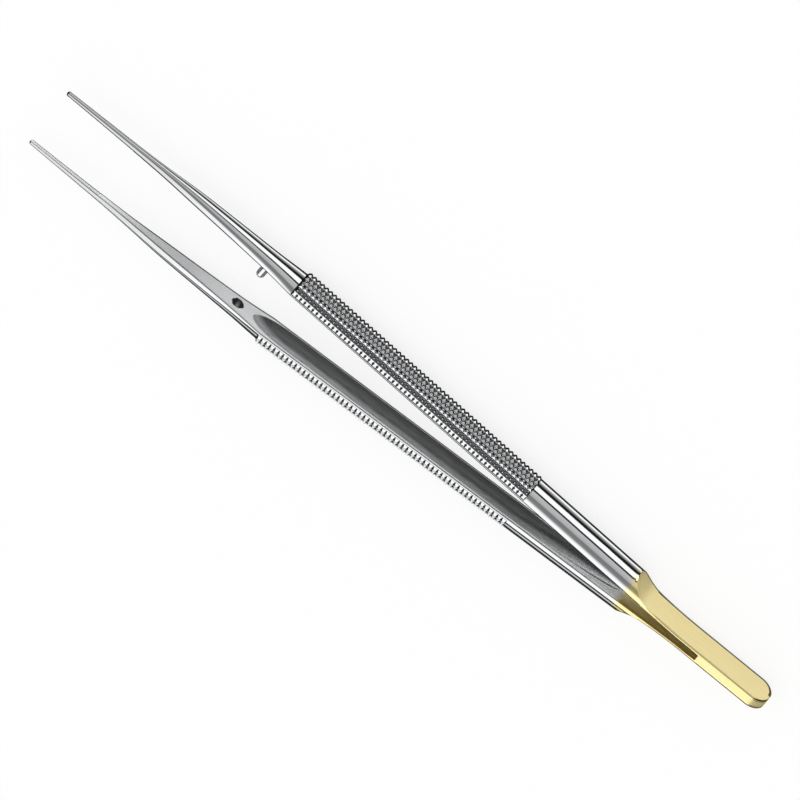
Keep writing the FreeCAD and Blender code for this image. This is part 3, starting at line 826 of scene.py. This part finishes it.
def gilt_metal(name, levels, steel, gold, grain=0.12, groove=(0.2, 0.3)):
    """Steel that is gold-plated behind the bar.

    Levels are (station, lightness) of the steel along the arm; where they change, they
    paint shade and light along the front. Steel is (metallic, roughness), and gold is
    (lightness, metallic, roughness). A groove is (lightness in its depth, share from
    which it is light), for the shade painted in grooves.
    """
    material, tree, shader, coords, streaks = start_metal(name, grain)
    apart = node(tree, "ShaderNodeSeparateXYZ")
    tree.links.new(coords.outputs["Object"], apart.inputs["Vector"])
    where = node(tree, "ShaderNodeMapRange")
    where.inputs["From Min"].default_value = flex_x * MM
    where.inputs["From Max"].default_value = (flex_x + REACH) * MM
    tree.links.new(apart.outputs["X"], where.inputs["Value"])
    along = where.outputs["Result"]
    gilt = tuple(c * gold[0] for c in GOLD_COLOUR) + (1,)
    stops = [(PLATED_TO[0] / REACH, gilt)]
    stops += [(s / REACH, (level * 0.985, level, level * 1.01, 1)) for s, level in levels]
    colour = ramp(tree, along, stops)
    border = [(PLATED_TO[0] / REACH, grey(0.0)), (PLATED_TO[1] / REACH, grey(1.0))]
    on_steel = ramp(tree, along, border).outputs["Color"]
    edge = node(tree, "ShaderNodeAttribute", attribute_name="edge_polish").outputs["Fac"]
    gold_share = blend_by(tree, edge, gold[1], 1.0)
    gold_rough = blend_by(tree, edge, gold[2], EDGE_ROUGHNESS)
    share = blend_by(tree, on_steel, gold_share, steel[0])
    rough = blend_by(tree, on_steel, gold_rough, steel[1])
    # Painted shade: dark in the grooves and on the walls of the hollow.
    valley = node(tree, "ShaderNodeAttribute", attribute_name="clear_of_painted_shade")
    shade = ramp(tree, valley.outputs["Fac"], [(0.0, grey(groove[0])),
                                               (groove[1], grey(1.0))])
    # A dark line painted along the outer edges, as painted shade.
    beside = node(tree, "ShaderNodeAttribute", attribute_name="painted_outline_shade").outputs["Fac"]
    line = ramp(tree, beside, [(PAINTED_LINE_CORE, PAINTED_LINE_SHADE), (1.0, grey(1.0))])
    streaked = times(tree, colour.outputs["Color"], streaks.outputs["Color"])
    shaded = times(tree, streaked, shade.outputs["Color"])
    lined = times(tree, shaded, line.outputs["Color"])
    tree.links.new(lined, shader.inputs["Base Color"])
    tree.links.new(share, shader.inputs["Metallic"])
    tree.links.new(rough, shader.inputs["Roughness"])
    return material


# The lightness stops along the arm are painted: the polished tips are darker, and the satin
# inner face dims and brightens along the front, as painted shade and light.
polished_metal = gilt_metal("polished_steel_gilt_tail",
                            [(PLATED_TO[1], 0.63), (112.0, 0.63), (134.0, 0.48)],
                            (1.0, 0.08), (1.0, 0.35, 0.38))
satin_metal = gilt_metal(
    "satin_steel_gilt_tail",
    [(PLATED_TO[1], 0.9), (96.0, 1.0), (102.0, 0.84), (109.0, 0.78), (119.0, 0.55),
     (130.0, 0.57), (141.0, 0.9)],
    (0.25, 0.42), (0.8, 0.6, 0.4))
# The milled hollow: its walls are painted dark as shade, the strip along its bottom is not.
hollow_metal = gilt_metal("milled_steel_gilt_tail", [(PLATED_TO[1], 0.9)],
                          (0.35, 0.32), (1.0, 0.8, 0.4), 0.5, (0.2, 1.0))
spacer_metal = plain_metal("satin_gold", GOLD_COLOUR, 0.5, 0.35)
pin_metal = plain_metal("turned_steel", (0.75, 0.76, 0.77), 0.8, 0.12)
# The bore's wall: its dark grey is painted shade.
plain_metal("bore_steel_painted_dark", (0.22, 0.22, 0.22), 0.9, 0.35, 0.8)

for skin in (pin_skin, hole_skin):
    for finish in (polished_metal, satin_metal, hollow_metal):
        skin.data.materials.append(finish)
drill_hole(hole_skin, 1)
guide_pin = turn_pin(-1)
guide_pin.data.materials.append(pin_metal)
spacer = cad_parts["tail_spacer"]
spacer.data.materials.clear()
spacer.data.materials.append(spacer_metal)
print("hole drilled:", len(hole_skin.data.polygons), "faces,",
      len(hole_skin.data.materials), "finishes")

# %% [markdown]
# ## What moves with what
# Each skin stands for two nodes of the model that meet at a hairline in the flat
# spring, and both nodes are hidden. The skin has no such joint: it is built bent
# there, from the end of the spacer to the start of the scoop, as the real spring is.
# The skins are baked where they lie, and the turned pin rides on the pin arm.

# %% Hiding the nodes, baking the skins and seating the pin
for skin, body, tail_node in ((pin_skin, "pin_arm", "pin_arm_tail"),
                              (hole_skin, "hole_arm", "hole_arm_tail")):
    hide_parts(body, tail_node)
    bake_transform(skin)
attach(guide_pin, "pin_arm")
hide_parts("guide_pin")

# %% [markdown]
# ## Floor and light
# Polished steel shows nothing but the room round it. Such instruments are
# photographed in a tent of long white strips with dark gaps between them, all
# parallel to the part, which draws the light and dark lines along the bars. The
# sky is that tent: its brightness depends on the angle round the long axis, so the
# lines stay straight however the arms open, and its two ends are dark, which sets
# off the flanks of the studs. The paper floor would hide its lower half, so
# reflections pass the floor. The rest of the light is even.

# %% Floor and light tent
FLOOR_DROP = 0.02
FLOOR_WHITE = 0.8
bpy.ops.object.select_all(action="DESELECT")
bpy.ops.mesh.primitive_plane_add(size=6.0, location=(0, 0, -FLOOR_DROP * MM))
floor = bpy.context.active_object
floor.name = "floor"
floor.visible_glossy = False
floor_material = bpy.data.materials.new("floor_paper")
floor_material.use_nodes = True
floor_tree = floor_material.node_tree
floor_shader = floor_tree.nodes["Principled BSDF"]
floor_shader.inputs["Base Color"].default_value = (0.96, 0.96, 0.96, 1)
floor_shader.inputs["Roughness"].default_value = 0.9
paper_white = node(floor_tree, "ShaderNodeEmission")
paper_white.inputs["Strength"].default_value = 1.0
seen = node(floor_tree, "ShaderNodeLightPath")
whiter = node(floor_tree, "ShaderNodeMath", operation="MULTIPLY")
whiter.inputs[1].default_value = FLOOR_WHITE
seen_floor = node(floor_tree, "ShaderNodeMixShader")
floor_tree.links.new(seen.outputs["Is Camera Ray"], whiter.inputs[0])
floor_tree.links.new(whiter.outputs["Value"], seen_floor.inputs["Fac"])
floor_tree.links.new(floor_shader.outputs["BSDF"], seen_floor.inputs[1])
floor_tree.links.new(paper_white.outputs["Emission"], seen_floor.inputs[2])
floor_tree.links.new(seen_floor.outputs["Shader"],
                     floor_tree.nodes["Material Output"].inputs["Surface"])
floor.data.materials.append(floor_material)

# Angle round the long axis, from the front over the top, and the light there.
TENT = [
    (-180, 0.04), (-74, 0.04), (-71, 1.60), (-57, 1.60), (-52, 0.75), (-36, 0.22),
    (-32, 0.02), (-14, 0.02), (-11, 1.7), (17, 1.7), (18.5, 0.02), (28.5, 0.02),
    (30.5, 0.85), (58, 0.70), (66, 0.30), (88, 0.35), (98, 1.2), (106, 1.7),
    (147, 1.7), (150, 0.03), (161, 0.03), (164, 0.95), (176, 0.95), (179, 0.04),
]
# How far a direction points along the axis, and how much light is left there.
TENT_ENDS = [(0.36, 1.0), (0.5, 0.03)]
EVEN_LIGHT = 1.03

world = bpy.data.worlds.new("light_tent")
bpy.context.scene.world = world
world.use_nodes = True
tent = world.node_tree
even = tent.nodes["Background"]
even.inputs["Color"].default_value = (1, 1, 1, 1)
even.inputs["Strength"].default_value = EVEN_LIGHT
strips = node(tent, "ShaderNodeBackground")
direction = node(tent, "ShaderNodeTexCoord")
parts = node(tent, "ShaderNodeSeparateXYZ")
tent.links.new(direction.outputs["Generated"], parts.inputs["Vector"])
front = node(tent, "ShaderNodeMath", operation="MULTIPLY")
front.inputs[1].default_value = -1.0
tent.links.new(parts.outputs["Y"], front.inputs[0])
angle = node(tent, "ShaderNodeMath", operation="ARCTAN2")
tent.links.new(parts.outputs["Z"], angle.inputs[0])
tent.links.new(front.outputs["Value"], angle.inputs[1])
share = node(tent, "ShaderNodeMapRange")
share.inputs["From Min"].default_value = -math.pi
share.inputs["From Max"].default_value = math.pi
tent.links.new(angle.outputs["Value"], share.inputs["Value"])
light = ramp(tent, share.outputs["Result"],
             [((at + 180) / 360, grey(level)) for at, level in TENT])
ends = node(tent, "ShaderNodeMath", operation="ABSOLUTE")
tent.links.new(parts.outputs["X"], ends.inputs[0])
closed = ramp(tent, ends.outputs["Value"], [(at, grey(level)) for at, level in TENT_ENDS])
tent.links.new(times(tent, light.outputs["Color"], closed.outputs["Color"]),
               strips.inputs["Color"])
path = node(tent, "ShaderNodeLightPath")
choice = node(tent, "ShaderNodeMixShader")
tent.links.new(path.outputs["Is Glossy Ray"], choice.inputs["Fac"])
tent.links.new(even.outputs["Background"], choice.inputs[1])
tent.links.new(strips.outputs["Background"], choice.inputs[2])
tent.links.new(choice.outputs["Shader"], tent.nodes["World Output"].inputs["Surface"])

bpy.context.scene.view_settings.view_transform = "Standard"
